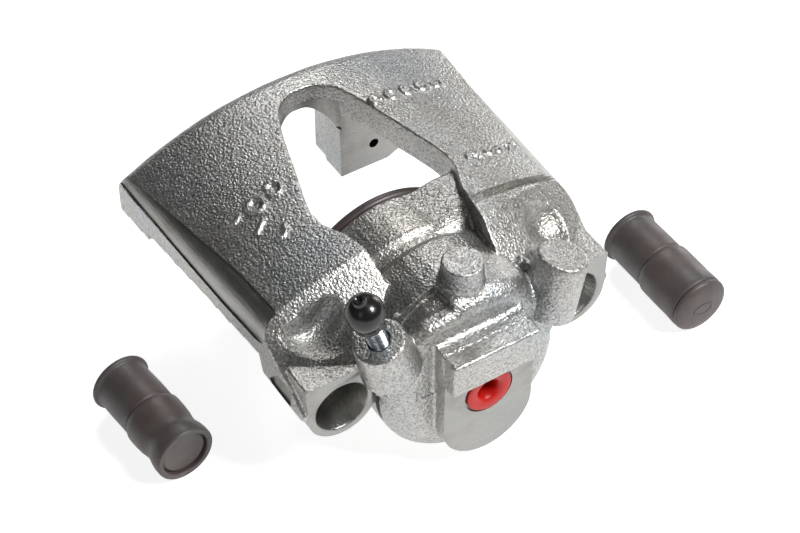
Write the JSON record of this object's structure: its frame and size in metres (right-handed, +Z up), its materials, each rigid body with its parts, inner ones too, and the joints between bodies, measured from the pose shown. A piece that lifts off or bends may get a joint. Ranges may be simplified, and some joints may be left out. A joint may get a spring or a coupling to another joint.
{
  "type": "floating brake caliper",
  "caption": "Floating single-piston brake caliper casting with an arched windowed bridge, bleed screw with cap, plugged hose port and two loose rubber guide sleeves.",
  "frame": {"origin": "on the floor under the middle of the whole set, the caliper with its two loose sleeves", "axes": "+Y along the piston axis towards the fingers (outboard), +Z up from the bore to the bridge, +X across from the bleed screw's side"},
  "size_m": [0.2319, 0.151, 0.1],
  "materials": {
    "zinc_plated_iron": "cast, zinc-plated, machined on the faces and bores",
    "chromed_steel": "ground and chromed",
    "ring_steel": "plain pressed steel",
    "bluish_zinc": "bright blue zinc",
    "seal_rubber": "satin",
    "boot_rubber": "satin",
    "cap_rubber": "glossy",
    "sleeve_rubber": "matte",
    "red_plastic": "satin"
  },
  "bodies": {
    "caliper": {"caliper_housing": "zinc_plated_iron", "piston_seal": "seal_rubber", "dust_boot": "boot_rubber", "boot_retaining_ring": "ring_steel"},
    "piston": {"piston": "chromed_steel"},
    "bleed_screw": {"bleed_screw": "bluish_zinc"},
    "bleed_cap": {"bleed_screw_cap": "cap_rubber"},
    "inlet_plug": {"inlet_plug": "red_plastic"},
    "left_sleeve": {"guide_sleeve_left": "sleeve_rubber"},
    "left_sleeve_cap": {"sleeve_cap_left": "sleeve_rubber"},
    "right_sleeve": {"guide_sleeve_right": "sleeve_rubber"},
    "right_sleeve_cap": {"sleeve_cap_right": "sleeve_rubber"}
  },
  "joints": [
    {"name": "piston_slide", "type": "slide", "parent": "caliper", "child": "piston", "axis": [0, 1, 0], "range_m": [0, 0.02], "deforming": ["dust_boot"]},
    {"name": "bleed_screw_turn", "type": "hinge", "parent": "caliper", "child": "bleed_screw", "pos_m": [-0.04055, -0.05755, 0.0745], "axis": [-0.2924, 0, 0.9563], "range_deg": [0, 180]},
    {"name": "bleed_cap_pull", "type": "slide", "parent": "bleed_screw", "child": "bleed_cap", "axis": [-0.2924, 0, 0.9563], "range_m": [0, 0.03]},
    {"name": "inlet_plug_pull", "type": "slide", "parent": "caliper", "child": "inlet_plug", "axis": [0, -1, 0], "range_m": [0, 0.03]},
    {"name": "left_sleeve_lift", "type": "slide", "parent": "caliper", "child": "left_sleeve", "axis": [0, 0, 1], "range_m": [0, 0.06]},
    {"name": "left_sleeve_cap_pull", "type": "slide", "parent": "left_sleeve", "child": "left_sleeve_cap", "axis": [0.0906, -0.9959, 0], "range_m": [0, 0.03]},
    {"name": "right_sleeve_lift", "type": "slide", "parent": "caliper", "child": "right_sleeve", "axis": [0, 0, 1], "range_m": [0, 0.06]},
    {"name": "right_sleeve_cap_pull", "type": "slide", "parent": "right_sleeve", "child": "right_sleeve_cap", "axis": [0, -1, 0], "range_m": [0, 0.03]}
  ]
}
